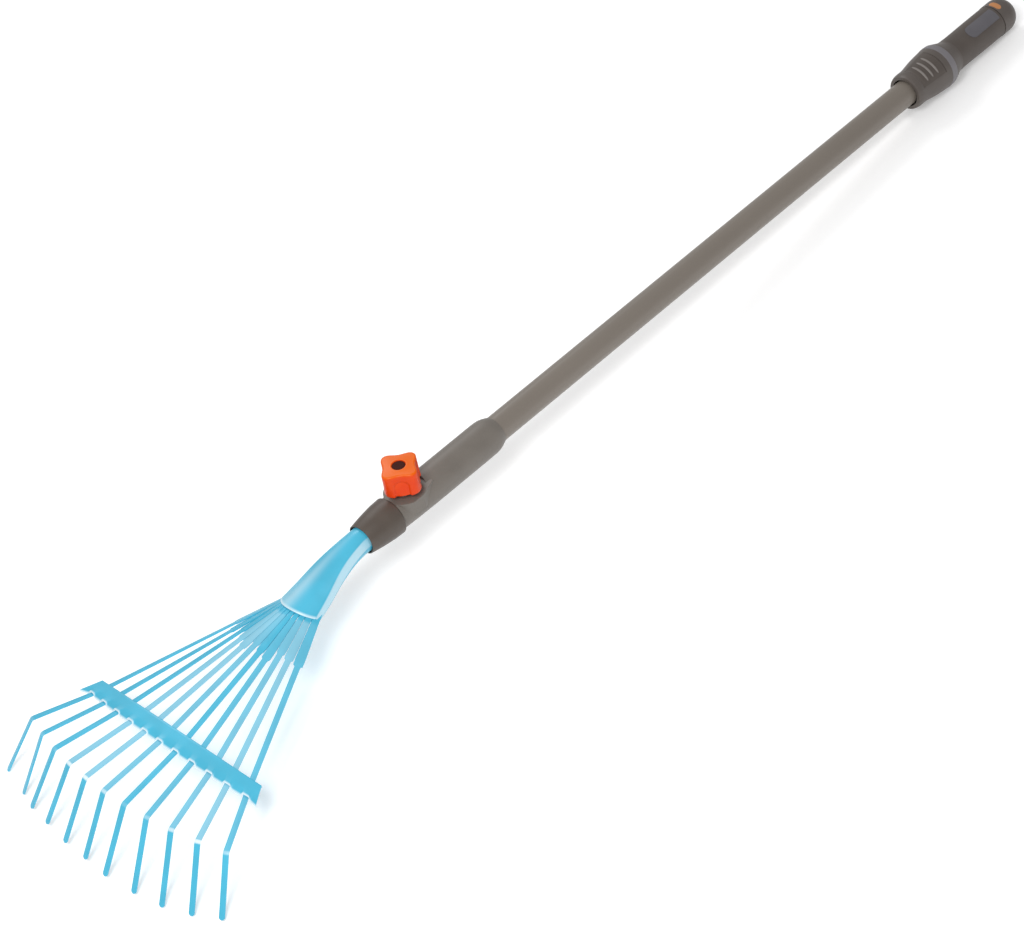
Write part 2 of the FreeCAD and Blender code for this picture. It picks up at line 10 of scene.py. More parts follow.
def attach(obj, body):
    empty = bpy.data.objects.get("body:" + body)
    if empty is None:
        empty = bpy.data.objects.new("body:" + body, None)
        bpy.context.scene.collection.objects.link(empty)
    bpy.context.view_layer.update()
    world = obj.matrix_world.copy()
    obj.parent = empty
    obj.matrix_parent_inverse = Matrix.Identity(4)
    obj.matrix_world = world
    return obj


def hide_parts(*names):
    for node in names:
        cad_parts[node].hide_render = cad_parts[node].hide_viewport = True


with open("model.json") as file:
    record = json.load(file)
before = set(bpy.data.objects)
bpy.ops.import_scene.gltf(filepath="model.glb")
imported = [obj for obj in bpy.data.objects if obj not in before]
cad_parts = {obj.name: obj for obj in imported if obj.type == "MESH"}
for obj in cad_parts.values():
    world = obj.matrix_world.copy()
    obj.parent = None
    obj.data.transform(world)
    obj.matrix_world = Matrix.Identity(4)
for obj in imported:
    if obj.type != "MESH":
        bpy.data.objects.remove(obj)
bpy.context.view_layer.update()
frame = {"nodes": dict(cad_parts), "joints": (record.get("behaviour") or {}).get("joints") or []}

# ---------------------------------------------------------------- The rake on the ground
# The tool frame, in millimetres: Y along the handle towards the grip from the joint between the
# head's collar and the socket, Z towards the clamping knob, X to the right.
joints = {joint["name"]: joint for joint in frame["joints"]}
along = Vector(joints["handle_extend"]["axis"]).normalized()
up = Vector(joints["knob_lift"]["axis"]).normalized()
right = along.cross(up)
knob_foot = Vector((0.0, 20.4, 23.1))            # where the knob turns, in the tool frame
tool = Matrix((right, along, up)).transposed().to_4x4() @ Matrix.Scale(0.001, 4)
tool.translation = Vector(joints["knob_turn"]["pos_m"]) - tool.to_3x3() @ knob_foot
tilt = math.asin(along.z)                        # the handle slopes down to its grip


class Map:
    """One number, colour or vector of a material; arithmetic on it adds the shader nodes."""

    def __init__(self, tree, socket=None):
        self.tree = tree
        self.socket = socket

    def node(self, kind, settings=(), output=0, **values):
        """Any node: its type, its settings, then its sockets by name or, as s0, s1, by number."""
        made = self.tree.nodes.new("ShaderNode" + kind)
        for key, value in dict(settings).items():
            setattr(made, key, value)
        for key, value in values.items():
            number = key[0] == "s" and key[1:].isdigit()
            socket = made.inputs[int(key[1:]) if number else key.replace("_", " ")]
            if isinstance(value, Map):
                self.tree.links.new(value.socket, socket)
            else:
                socket.default_value = value
        return Map(self.tree, made.outputs[output])

    def maths(self, operation, first, second=0.0):
        return self.node("Math", {"operation": operation}, s0=first, s1=second)

    def __add__(self, other):
        return self.maths("ADD", self, other)

    def __mul__(self, other):
        return self.maths("MULTIPLY", self, other)

    __radd__ = __add__
    __rmul__ = __mul__

    def within(self, low, high):
        """0 below low, 1 above high, eased between them."""
        return self.node("MapRange", {"interpolation_type": "SMOOTHSTEP"}, Value=self,
                         From_Min=low, From_Max=high)

    def between(self, first, second):
        """First colour where this is 0, second where it is 1."""
        return self.node("Mix", {"data_type": "RGBA"}, output=2, s0=self, s6=first, s7=second)

    def stretched(self, x, y, z):
        """Coordinates scaled along each axis, so that a pattern on them is drawn out."""
        return self.node("VectorMath", {"operation": "MULTIPLY"}, s0=self, s1=(x, y, z))

    def noise(self, size, detail=2.0, roughness=0.5):
        """Even noise around one half, with blotches of about this size in metres."""
        return self.node("TexNoise", Vector=self, Scale=1.0 / size, Detail=detail,
                         Roughness=roughness)


def material(name, colour, roughness, paint, metallic=0.0, coat=0.0, coat_roughness=0.1,
             specular=0.5):
    """Principled material; paint gets the tool frame's coordinates and returns the colour, the
    roughness and the height in metres of its grain, each as a Map, or None to leave it."""
    made = bpy.data.materials.new(name)
    made.use_nodes = True
    made.diffuse_color = (*colour, 1)
    tree = made.node_tree
    shader = tree.nodes["Principled BSDF"]
    for key, value in (("Base Color", (*colour, 1)), ("Roughness", roughness),
                       ("Metallic", metallic), ("Coat Weight", coat),
                       ("Coat Roughness", coat_roughness), ("Specular IOR Level", specular)):
        shader.inputs[key].default_value = value
    place = Map(tree).node("TexCoord", output="Object")
    place = place.node("Mapping", Vector=place, Rotation=(-tilt, 0, 0))
    tint, gloss, height = paint(place)
    for key, value in (("Base Color", tint), ("Roughness", gloss)):
        if value:
            tree.links.new(value.socket, shader.inputs[key])
    if height:
        bump = height.node("Bump", Strength=1.0, Distance=1.0, Height=height)
        tree.links.new(bump.socket, shader.inputs["Normal"])
    return made


def shade(colour, factor):
    """Lighter or darker version of a colour, as four numbers."""
    return (*[min(1.0, part * factor) for part in colour], 1)


# ---------------------------------------------------------------- Studio
# Pale sweep of a floor under the rake, one soft lamp high in front on the right, a weaker one
# behind on the left and an even pale surround.
def floor_paint(place):
    blotch = place.noise(0.4, 3.0)
    return blotch.between((0.90, 0.90, 0.905, 1), (0.93, 0.93, 0.93, 1)), blotch * 0.1 + 0.75, None


floor_mesh = bpy.data.meshes.new("floor")
floor_mesh.from_pydata([(-9, -9, 0), (9, -9, 0), (9, 9, 0), (-9, 9, 0)], [], [(0, 1, 2, 3)])
paper = material("floor_paper", (0.92, 0.92, 0.92), 0.8, floor_paint, specular=0.1)
glow = paper.node_tree.nodes["Principled BSDF"].inputs
glow["Emission Color"].default_value = (1, 1, 1, 1)
glow["Emission Strength"].default_value = 0.24   # lifts the shadow, as a lit sweep does
floor_mesh.materials.append(paper)
floor = bpy.data.objects.new("floor", floor_mesh)
floor.location.z = -0.0004
bpy.context.scene.collection.objects.link(floor)


def lamp(name, place, target, size, power):
    """Soft square lamp at a place in metres, turned towards a target."""
    light = bpy.data.lights.new(name, "AREA")
    light.size = size
    light.energy = power
    made = bpy.data.objects.new(name, light)
    made.location = place
    made.rotation_euler = (Vector(target) - Vector(place)).to_track_quat("-Z", "Y").to_euler()
    bpy.context.scene.collection.objects.link(made)


lamp("key_lamp", (0.86, -1.35, 1.95), (0, -0.2, 0), 0.7, 33)
lamp("top_lamp", (-1.6, 0.7, 1.7), (0, 0.0, 0), 0.8, 13)
surround = bpy.data.worlds.new("surround")
surround.use_nodes = True
background = surround.node_tree.nodes["Background"].inputs
background["Color"].default_value = (1.0, 1.0, 1.0, 1)
background["Strength"].default_value = 0.52
bpy.context.scene.world = surround
bpy.context.scene.view_settings.view_transform = "Standard"

# ---------------------------------------------------------------- Camera
# Placed in the tool frame: its axes, then its place in millimetres.
camera_data = bpy.data.cameras.new("camera")
camera_data.sensor_width = 36.0
camera_data.lens = 97.54
camera = bpy.data.objects.new("camera", camera_data)
turn = Matrix(((0.7226, 0.6754, -0.1471), (-0.3767, 0.5632, 0.7355),
               (0.5796, -0.4761, 0.6614))).transposed()
spin = (Matrix((right, along, up)).transposed() @ turn).to_quaternion().normalized()
camera.matrix_world = Matrix.LocRotScale(tool @ Vector((1571.4, -1135.6, 1741.0)), spin, None)
bpy.context.scene.collection.objects.link(camera)
bpy.context.scene.camera = camera


# ---------------------------------------------------------------- Tines
# Eleven flat strips of spring steel, punched, bent at the crossbar and at the knee, and powder
# coated. The ferrule grips their wide roots; a shoulder narrows each root to the strip.
def eased(corners, steps=4):
    """Closed outline through (a, b, radius) corners, each rounded to about its radius."""
    outline = []
    for number, (a, b, radius) in enumerate(corners):
        here = Vector((a, b))
        if not radius:
            outline.append((a, b))
            continue
        before = Vector(corners[number - 1][:2]) - here
        after = Vector(corners[(number + 1) % len(corners)][:2]) - here
        reach = radius / math.tan(before.angle(after) / 2)
        start = here + before.normalized() * min(reach, before.length * 0.49)
        end = here + after.normalized() * min(reach, after.length * 0.49)
        for step in range(steps + 1):
            t = step / steps
            outline.append(tuple(start * (1 - t) ** 2 + here * 2 * t * (1 - t) + end * t * t))
    return outline


def smooth(value, low=0.0, high=1.0):
    """0 below low, 1 above high, eased between them."""
    t = min(1.0, max(0.0, (value - low) / (high - low)))
    return t * t * (3 - 2 * t)


def skin(name, body, rings, finish, nodes, closed="ends", sharp=38, painted_light=None):
    """Piece through rings of points in the tool frame, closed by its two end faces ("ends") or by
    joining the last ring to the first ("loop"). The last argument gives each ring's list of 0..1
    for how much painted light, a lighter colour standing in for highlights, is mixed into it."""
    count = len(rings[0])
    points = [tool @ Vector(point) for ring in rings for point in ring]
    pairs = [(k, k + 1) for k in range(len(rings) - 1)]
    if closed == "loop":
        pairs.append((len(rings) - 1, 0))
    faces = []
    for a, b in pairs:
        for k in range(count):
            n = (k + 1) % count
            faces.append((a * count + k, a * count + n, b * count + n, b * count + k))
    if closed == "ends":
        last = (len(rings) - 1) * count
        faces += [tuple(range(count)), tuple(range(last, last + count))]
    mesh = bpy.data.meshes.new(name)
    mesh.from_pydata(points, [], faces)
    # Painted light: each point's share of a lighter colour that stands in for highlights.
    if painted_light:
        painted_light_amount = mesh.attributes.new("painted_light", "FLOAT", "POINT")
        painted_light_amount.data.foreach_set("value", [value for ring in painted_light for value in ring])
    work = bmesh.new()
    work.from_mesh(mesh)
    bmesh.ops.remove_doubles(work, verts=work.verts, dist=1e-6)
    bmesh.ops.recalc_face_normals(work, faces=work.faces)
    work.to_mesh(mesh)
    work.free()
    mesh.shade_smooth()
    mesh.set_sharp_from_angle(angle=math.radians(sharp))
    mesh.materials.append(finish)
    piece = bpy.data.objects.new(name, mesh)
    bpy.context.scene.collection.objects.link(piece)
    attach(piece, body)
    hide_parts(*nodes)


blue = (0.055, 0.430, 0.620)


def blue_paint(place):
    cloud = place.noise(0.03, 3.0)
    peel = place.noise(0.0011, 2.0)
    painted_light_amount = place.node("Attribute", {"attribute_name": "painted_light"}, output="Fac")
    tint = cloud.within(0.3, 0.7).between(shade(blue, 0.94), shade(blue, 1.05))
    # Painted highlight: pale blue mixed in where the painted-light share is set, at the knees, the
    # crossbar rim and the ferrule's crown, fold and lip.
    tint = painted_light_amount.between(tint, (0.80, 0.90, 0.93, 1))
    return tint, cloud * 0.10 + peel * 0.06 + 0.32, peel * 0.00002


blue_coat = material("blue_powder_coat", blue, 0.42, blue_paint, coat=0.12, coat_roughness=0.2)

tine_count = 11
outermost = (tine_count - 1) / 2
tine_width = 5.6
tine_thickness = 1.4
slit = 0.3
mouth_arch = 0.0205
root = (-120.0, 3.35, 10.5)                      # y and pitch, then how far the outermost is back
mouth = (-138.0, 4.4, 12.5)
bar = (-300.0, 20.4, 5.3, -36.2, 9.4)            # further out: the same, z, how far it is lower
knee = (-376.3, 26.9, 22.9, -39.7, 11.5)
tip = (-416.4, 30.0, 29.0, -97.4, 4.9)


def ferrule_line(y):
    """Height of the ferrule's middle: level, then curving down onto the line of the tines."""
    past = max(0.0, -46.0 - y)
    curved = min(past, 44.0)
    return -0.15617 * (curved ** 2 / 88.0 + past - curved)


def ferrule_arch(y):
    """Height lost per square of the distance from the middle, growing towards the mouth."""
    return mouth_arch * smooth((-46.0 - y) / 92.0 * 1.35)


def station(where, place):
    """Point of the tine at place -1..1 across the fan."""
    y, pitch, back = where[:3]
    x = pitch * place * outermost
    y += back * place ** 2
    if len(where) == 3:
        return Vector((x, y, ferrule_line(y) - ferrule_arch(y) * x * x))
    return Vector((x, y, where[3] - where[4] * place ** 2))


def step_across(where, place):
    """Step from a tine to its right-hand neighbour."""
    half = 0.5 / outermost
    return station(where, place + half) - station(where, place - half)


def strip_ring(centre, run, side, width, thickness):
    """Section of a strip, square to its run, with its long edges eased."""
    side = (side - run * side.dot(run)).normalized()
    lift = run.cross(side)
    w, t = width / 2, thickness / 2
    ease = min(0.3, w * 0.6)
    outline = eased([(-w, -t, ease), (w, -t, ease), (w, t, ease), (-w, t, ease)], 2)
    return [centre + side * a + lift * b for a, b in outline]


def bend_points(before, here, after, reach, steps):
    """Arc-like run of points around a bend, with the direction at each."""
    start = here + (before - here).normalized() * reach
    end = here + (after - here).normalized() * reach
    made = []
    for step in range(steps + 1):
        t = step / steps
        point = start * (1 - t) ** 2 + here * 2 * t * (1 - t) + end * t * t
        made.append((point, ((here - start) * (1 - t) + (end - here) * t).normalized()))
    return made


# How far each strip is twisted between ferrule and crossbar and beyond it, in degrees.
upper_twist = (2, 2, 2, -3, -3, -1, 4, 2, -1, -3, 2)
lower_twist = (1, 1, 1, -2, -2, -1, 3, -2, -2, -2, -1)
# How far use has bent each strip's end sideways, and how much longer than drawn it reaches.
bent = ((0, 0), (6.5, 0), (-1.6, -1.3), (-2.7, -3.4), (-1.8, -2.1), (-1.6, -1.6), (-4.2, 1.7),
        (1.2, 2.6), (2.2, 3.2), (2.0, 0.9), (-0.6, -2.8))
# How much painted sheen lightens each strip's top, standing in for the strips' differing glints.
painted_sheen_by_strip = (0.0, 0.0, 0.0, 0.20, 0.22, 0.12, 0.0, 0.05, 0.14, 0.22, 0.06)
for number in range(1, tine_count + 1):
    place = (number - 1 - outermost) / outermost
    held, grip, beam, crook, end = [station(s, place) for s in (root, mouth, bar, knee, tip)]
    (sideways, longer), painted_sheen = bent[number - 1], painted_sheen_by_strip[number - 1]
    end += Vector((sideways, 0, 0)) + (end - crook).normalized() * longer
    run = (beam - grip).normalized()
    lower = (crook - beam).normalized()
    drop = (end - crook).normalized()
    bend = lower.cross(drop).normalized()
    length = 50.0 + 5.0 * (number % 3 - 1)
    full = (beam - grip).length
    at_root, at_mouth, at_bar = [step_across(s, place) for s in (root, mouth, bar)]
    rings, painted_light = [], []

    def ring(centre, direction, side, width, twist=0.0, light=0.0):
        side = side.normalized()
        side.rotate(Matrix.Rotation(math.radians(twist), 3, direction))
        rings.append(strip_ring(centre, direction, side, width, tine_thickness))
        painted_light.append([light] * len(rings[-1]))

    def across(far):
        """Direction across the strip at a distance from the ferrule's mouth."""
        return at_mouth.normalized().lerp(at_bar.normalized(), min(1.0, far / full))

    ring(held, (grip - held).normalized(), at_root, at_root.length - slit)
    for point, direction in bend_points(held, grip, beam, 6.0, 4):
        ring(point, direction, at_mouth, at_mouth.length - slit)
    for share in (0.18, 0.35, 0.55, 0.75, 0.9, 1.0):
        far = length * share
        side = at_mouth.lerp(at_bar, far / full)
        side -= run * side.dot(run)
        width = side.length * (1 - 0.05 * smooth(share, 0.6, 1.0)) - slit
        if share == 1.0:
            width -= 0.7
        ring(grip + run * far, run, across(far), width,
             upper_twist[number - 1] * smooth(share, 0, 0.8), painted_sheen)
    for far, width in ((length + 0.9, tine_width + 0.5), (length + 2.2, tine_width),
                       (length + 20.0, tine_width), (length + 50.0, tine_width)):
        ring(grip + run * far, run, across(far), width, upper_twist[number - 1], painted_sheen)
    for point, direction in bend_points(grip, beam, crook, 9.0, 5):
        share = (point - beam).dot(lower) / 18 + 0.5
        twist = upper_twist[number - 1] * (1 - share) + lower_twist[number - 1] * share
        ring(point, direction, at_bar.normalized().lerp(bend, 0.3 * share), tine_width, twist, painted_sheen)
    for share in (0.35, 0.6, 0.8):
        ring(beam.lerp(crook, share), lower, at_bar.normalized().lerp(bend, 0.3 + 0.7 * share),
             tine_width, lower_twist[number - 1] * (1 - share), painted_sheen)
    ring(crook - lower * 3.0, lower, bend, tine_width, light=painted_sheen)
    # Painted highlight across each knee, stronger on the strips with more painted sheen.
    painted_light_amount = min(1.0, 0.12 + 4 * painted_sheen)
    for (point, direction), light in zip(bend_points(beam, crook, end, 2.2, 5),
                                         (0.2, 0.75, 0.9, 0.9, 0.6, 0.0)):
        ring(point, direction, bend, tine_width, light=light * painted_light_amount)
    ring(crook.lerp(end, 0.55), drop, bend, tine_width)
    for angle in (0, 18, 36, 54, 70, 83):
        past = math.sin(math.radians(angle)) * tine_width / 2
        width = math.cos(math.radians(angle)) * tine_width
        ring(end - drop * (tine_width / 2 - past), drop, bend, width)
    name = "tine_%02d" % number
    skin(name + "_strip", "head", rings, blue_coat, [name], painted_light=painted_light)

# ---------------------------------------------------------------- Crossbar
# One pressed steel plate over the strips, coated like them. Its front edge is pressed up into an
# arch over each strip and turned down between them; its rear edge is turned down and notched.
seat = 1.6
plate = 1.2
rings = []
samples = 280
bar_end = 1.115                                  # place of the plate's ends across the fan
for sample in range(samples + 1):
    place = (sample / samples * 2 - 1) * bar_end
    beam = station(bar, place)
    run = ((beam - station(mouth, place)).normalized()
           + (station(knee, place) - beam).normalized()).normalized()
    side = step_across(bar, place)
    side = (side - run * side.dot(run)).normalized()
    lift = run.cross(side)
    number = min(5, max(-5, round(place * outermost)))
    off = (place * outermost - number) * bar[1]
    over = 1 - smooth(abs(off), 2.8, 5.6)                # 1 over a strip, 0 between two
    notch = 1 - smooth(abs(off - 5.2), 1.0, 1.9)         # slot in the rear edge beside a strip
    left_tab = smooth(-place, 1.03, 1.12)
    right_fold = smooth(place, 1.04, 1.12)
    top = seat + plate
    raised = top + 0.5 * over - 2.2 * (1 - over) * (1 - left_tab) + 1.4 * right_fold
    front_low = raised - plate - 0.2
    rear_low = seat - 0.3 - 1.9 * (1 - notch)
    front = 9.6 - 1.8 * over + 4.0 * left_tab + 2.0 * right_fold
    outline = [(front, front_low), (front, raised - 0.7), (front - 0.3, raised - 0.2),
               (front - 1.0, raised), (front - 2.2, top * 0.25 + raised * 0.75),
               (front - 4.0, top * 0.85 + raised * 0.15), (0, top), (-7.5, top), (-9.0, top),
               (-9.7, top - 0.25), (-10.0, top - 0.9), (-10.0, rear_low), (-8.9, rear_low),
               (-8.8, seat - 0.15), (-8.4, seat), (0, seat),
               (front - 4.2, seat * 0.85 + (raised - plate) * 0.15),
               (front - 2.4, seat * 0.25 + (raised - plate) * 0.75),
               (front - 1.4, raised - plate), (front - 1.1, raised - plate - 0.1),
               (front - 1.0, front_low)]
    rings.append([beam + run * v + lift * h for v, h in outline])
# Painted highlight along the plate's front rim.
painted_rim_highlight = [0.5, 0.9, 0.9, 0.45] + [0.0] * (len(rings[0]) - 4)
skin("crossbar_plate", "head", rings, blue_coat, ["crossbar"], sharp=50,
     painted_light=[painted_rim_highlight] * len(rings))

# ---------------------------------------------------------------- Ferrule
# A steel tube, round in the collar, flattened and spread into an arched mouth that is crimped on
# the strips' roots. Its flanks stay flat, so a fold runs along each; the lip curves forward.
lip_radius = 31.0
ferrule_start = -12.0                            # inside the collar
ferrule_length = 127.0
crown_points = 28                                # points across the ferrule's top


def ferrule_ring(share, inset):
    """Section at a share 0..1 of the way to the lip, smaller all round by an inset."""
    sides = []                                   # each point's side, and its share along it
    for side, count in enumerate((crown_points, 6, 6, crown_points, 6, 6)):
        sides += [(side, (step + 0.5) / count) for step in range(count)]
    turns = ((-50, 50), (50, 92), (92, 130), (130, 230), (230, 268), (268, 310))
    ring = []
    for side, t in sides:
        angle = math.radians(turns[side][0] * (1 - t) + turns[side][1] * t)
        y = ferrule_start - ferrule_length * share
        for _ in range(2):                       # the lip's curve depends on where the point is
            past = max(0.0, (-46.0 - y) / 92.0)
            ease = smooth(past * 1.6)
            w = 13.0 + 14.5 * past * (0.8 + 0.3 * past) - inset
            h = 2.9 + 10.1 * max(0.0, 1 - past) ** 1.5 - inset
            fold, brow, tuck = w - 1.5 - 0.22 * h, h * (1 - 0.25 * (1 - past)), w - 2.5
            corners = ((-fold, brow), (fold, brow), (w, -0.1 * h), (tuck, -h), (-tuck, -h),
                       (-w, -0.1 * h), (-fold, brow))
            (x0, z0), (x1, z1) = corners[side:side + 2]
            x, z = x0 + (x1 - x0) * t, z0 + (z1 - z0) * t
            if side == 0:
                z += (h - brow) * (1 - (2 * t - 1) ** 2)
            x += (w * math.sin(angle) - x) * (1 - ease)
            z += (h * math.cos(angle) - z) * (1 - ease)
            back = lip_radius - math.sqrt(max(0.0, lip_radius ** 2 - x * x))
            y = ferrule_start - ferrule_length * share + back * smooth(share, 0.35, 1.0)
        ring.append((x, y, ferrule_line(y) + z - ferrule_arch(y) * x * x))
    return ring


steps = 44
outer = [ferrule_ring(k / steps, 0.0) for k in range(steps + 1)]
lip = [ferrule_ring(1.002, 0.25), ferrule_ring(1.002, 0.95)]
inner = [ferrule_ring(1 - k / steps, 1.2) for k in range(steps + 1)]
# Painted light: a highlight on the crown that grows towards the mouth, a light band on the
# right-hand fold and a bright line along the lip's top.
painted_light = []
for k in range(steps + 1):
    share = k / steps
    painted_crown_highlight = [0.34 * smooth(share, 0.15, 0.9) * math.exp(-((t - 9.5) / 4.5) ** 2)
             for t in range(crown_points)]
    fold = 0.5 * smooth(share, 0.12, 0.35)
    painted_light.append(painted_crown_highlight + [fold] * 6 + [0.0] * (len(outer[0]) - crown_points - 6))
painted_light[steps] = [0.7] * crown_points + painted_light[steps][crown_points:]
painted_light.append([0.8] * crown_points + [0.0] * (len(outer[0]) - crown_points))
painted_light += [[0.0] * len(outer[0])] * (steps + 2)
skin("ferrule_shell", "head", outer + lip + inner, blue_coat, ["ferrule"],
     closed="loop", sharp=50, painted_light=painted_light)


# ---------------------------------------------------------------- Collar and plug
# The head's coupling: a dark moulded collar over the ferrule's root and the keyed plug inside the
# socket, with a zinc-plated cross pin through ferrule and plug.
def lathe(name, body, outline, finish, nodes, shape=None):
    """Piece turned about the handle's axis from (y, radius) points; shape may change a radius."""
    count = 96
    rings = []
    for y, radius in outline:
        ring = []
        for step in range(count):
            angle = 2 * math.pi * step / count
            r = shape(y, radius, angle) if shape else radius
            ring.append((r * math.sin(angle), y, r * math.cos(angle)))
        rings.append(ring)
    skin(name, body, rings, finish, nodes, closed="loop")


def moulded(colour, grain=0.0007, depth=0.00002, blotch=0.02):
    """Paint for moulded plastic: faint flow clouds and the fine grain of an eroded mould."""
    def paint(place):
        cloud = place.noise(blotch, 3.0)
        pits = place.noise(grain, 3.0, 0.6)
        tint = cloud.within(0.3, 0.7).between(shade(colour, 0.95), shade(colour, 1.05))
        tint = pits.within(0.45, 0.75).between(tint, shade(colour, 1.12))
        return tint, cloud * 0.08 + pits * 0.12 + 0.38, pits * depth
    return paint


dark = (0.075, 0.058, 0.046)
dark_plastic = material("collar_plastic", dark, 0.5, moulded(dark))


def collar_flats(y, radius, angle):
    """Four broad flats, strongest towards the narrow end."""
    return radius * (1 - 0.02 * smooth(-y / 41.0) * (0.5 + 0.5 * math.cos(4 * angle)) ** 2)


outline = eased([(-38.0, 13.1, 0), (-38.0, 14.7, 0), (-41.0, 14.7, 0.2), (-41.0, 15.7, 0.4),
                 (-27.0, 18.0, 20), (-13.0, 19.6, 20), (-1.6, 20.0, 0.8), (-0.3, 18.6, 0.3),
                 (-0.3, 16.1, 0), (-12.0, 16.1, 0), (-12.0, 13.1, 0)])
lathe("collar_sleeve", "head", outline, dark_plastic, ["tool_collar"],
      shape=collar_flats)


def carry(node, finish):
    """A piece of the frame that keeps its own shape gets its finish."""
    slots = frame["nodes"][node].data.materials
    slots.clear()
    slots.append(finish)


def drawn(colour, rough, streak=(300.0, 6.0, 300.0)):
    """Paint for bare metal that was drawn or turned: fine lines, slightly uneven gloss."""
    def paint(place):
        lines = place.stretched(*streak).noise(0.25, 3.0)
        cloud = place.noise(0.015, 2.0)
        tint = lines.within(0.3, 0.7).between(shade(colour, 0.86), shade(colour, 1.06))
        return tint, cloud * 0.10 + lines * 0.10 + rough, lines * 0.000004
    return paint


zinc = (0.62, 0.62, 0.60)
zinc_plate = material("zinc_plate", zinc, 0.3, drawn(zinc, 0.18, (60.0, 60.0, 60.0)), metallic=1.0)
carry("tool_plug", dark_plastic)
carry("plug_pin", zinc_plate)

# ---------------------------------------------------------------- Socket
# Warm grey moulding pressed on the pole's lower end, with a flat boss that carries the knob and a
# brass nut moulded into it.
grey = (0.150, 0.133, 0.115)
socket_plastic = material("socket_plastic", grey, 0.48, moulded(grey))
brass = (0.72, 0.52, 0.22)
turned_brass = material("turned_brass", brass, 0.25, drawn(brass, 0.16), metallic=1.0)
carry("adapter_socket", socket_plastic)
carry("thread_insert", turned_brass)

# ---------------------------------------------------------------- Clamping knob
# Glossy orange moulding, a rounded square with hollowed sides and an arched finger recess in
# each. A dark plug closes its top, and it turns on a zinc-plated washer.
orange = (0.80, 0.090, 0.004)


def orange_paint(place):
    cloud = place.noise(0.012, 3.0)
    painted_top_light = place.node("Attribute", {"attribute_name": "painted_light"}, output="Fac")
    tint = cloud.within(0.3, 0.7).between((0.68, 0.046, 0.003, 1), (0.72, 0.058, 0.003, 1))
    # Painted light: the knob's top is tinted a lighter orange than its sides.
    tint = painted_top_light.between(tint, (0.76, 0.122, 0.001, 1))
    return tint, cloud * 0.08 + 0.30, place.noise(0.0016, 2.0) * 0.000008


knob_plastic = material("knob_plastic", orange, 0.34, orange_paint, specular=0.2)
knob_turned = math.radians(47.0)
knob_points = 192                                # round each ring of the knob and its plug
neck_radius = 9.0
stud_hole = 3.02


def knob_ring(height, inset):
    """Outline at a height, with the finger recesses, smaller all round by an inset."""
    foot = 0.8 * (1 - math.sqrt(max(0.0, 1 - max(0.0, 1 - height / 1.5) ** 2)))
    share = smooth(height, 0.0, 20.0)
    mean = 19.7 - 1.5 * share - foot
    lobe = 0.9 + 1.9 * share
    ring = []
    for step in range(knob_points):
        angle = 2 * math.pi * step / knob_points
        radius = mean - lobe * math.cos(4 * angle) + 0.3 * math.cos(8 * angle) - inset
        quarter = (angle + math.pi / 4) % (math.pi / 2) - math.pi / 4
        reach = abs(radius * math.sin(quarter))
        arch = 17.3 - 7.0 * (1 - math.sqrt(max(0.0, 1 - min(1.0, reach / 8.2) ** 2)))
        hollow = (1 - smooth(reach, 7.2, 8.2)) * (1 - smooth(height, arch - 0.7, arch + 0.4))
        radius -= (1.3 + 0.9 * (1 - share)) * hollow
        turned = angle + knob_turned
        ring.append((radius * math.cos(turned), knob_foot.y + radius * math.sin(turned),
                     knob_foot.z + height))
    return ring


rings = [knob_ring(0.0, 1.0)] + [knob_ring(h, 0.0) for h in
                                (0.25, 0.6, 1.0, 1.5, *[2.5 + 0.9 * k for k in range(22)])]
painted_light = [[0.0] * knob_points for ring in rings]
# Painted light grows over the rounded top edge onto the top face.
for angle in (8, 20, 34, 48, 62, 76, 90):
    a = math.radians(angle)
    rings.append(knob_ring(22.8 + 2.0 * math.sin(a), 2.2 * (1 - math.cos(a))))
    painted_light.append([min(1.0, angle / 62)] * knob_points)


def round_ring(radius, height):
    """Ring of the knob's own count of points about its axis."""
    ring = []
    for step in range(knob_points):
        angle = 2 * math.pi * step / knob_points + knob_turned
        ring.append((radius * math.cos(angle), knob_foot.y + radius * math.sin(angle),
                     knob_foot.z + height))
    return ring


rings += [round_ring(8.6, 24.85), round_ring(8.0, 25.0), round_ring(7.2, 25.0),
          round_ring(6.75, 24.7), round_ring(6.6, 24.2), round_ring(6.6, 22.5),
          round_ring(5.6, 22.5), round_ring(5.6, 13.0), round_ring(stud_hole, 13.0),
          round_ring(stud_hole, -5.4), round_ring(neck_radius, -5.4),
          round_ring(neck_radius, 0.4)]
# Painted light on the top face around the plug.
painted_light += [[1.0] * knob_points] * 3
painted_light += [[0.0] * knob_points] * (len(rings) - len(painted_light))
skin("knob_grip", "knob", rings, knob_plastic, ["star_knob"], closed="loop",
     sharp=45, painted_light=painted_light)

cap = (0.048, 0.010, 0.006)
cap_plastic = material("knob_cap_plastic", cap, 0.5, moulded(cap, 0.0005, 0.00001), specular=0.05)
rings = [round_ring(5.5, 18.2), round_ring(5.5, 22.55), round_ring(6.55, 22.55),
         round_ring(6.55, 23.7), round_ring(6.35, 24.1), round_ring(5.9, 24.25),
         round_ring(3.0, 24.05)]
skin("knob_plug", "knob", rings, cap_plastic, ["knob_cap"])
carry("clamp_stud", zinc_plate)
carry("knob_washer", zinc_plate)


# ---------------------------------------------------------------- Pole
# Steel tube with a satin brown-grey coat, a black acetal bush in its upper end, the bare
# aluminium tube that slides in it, and the twist lock between them.
def tube_paint(place):
    cloud = place.stretched(1.0, 0.2, 1.0).noise(0.03, 2.0)
    speck = place.noise(0.0008, 2.0)
    tint = cloud.within(0.3, 0.7).between(shade(coat, 0.97), shade(coat, 1.03))
    tint = speck.within(0.5, 0.8).between(tint, shade(coat, 1.12))
    return tint, cloud * 0.06 + speck * 0.08 + 0.34, speck * 0.000006


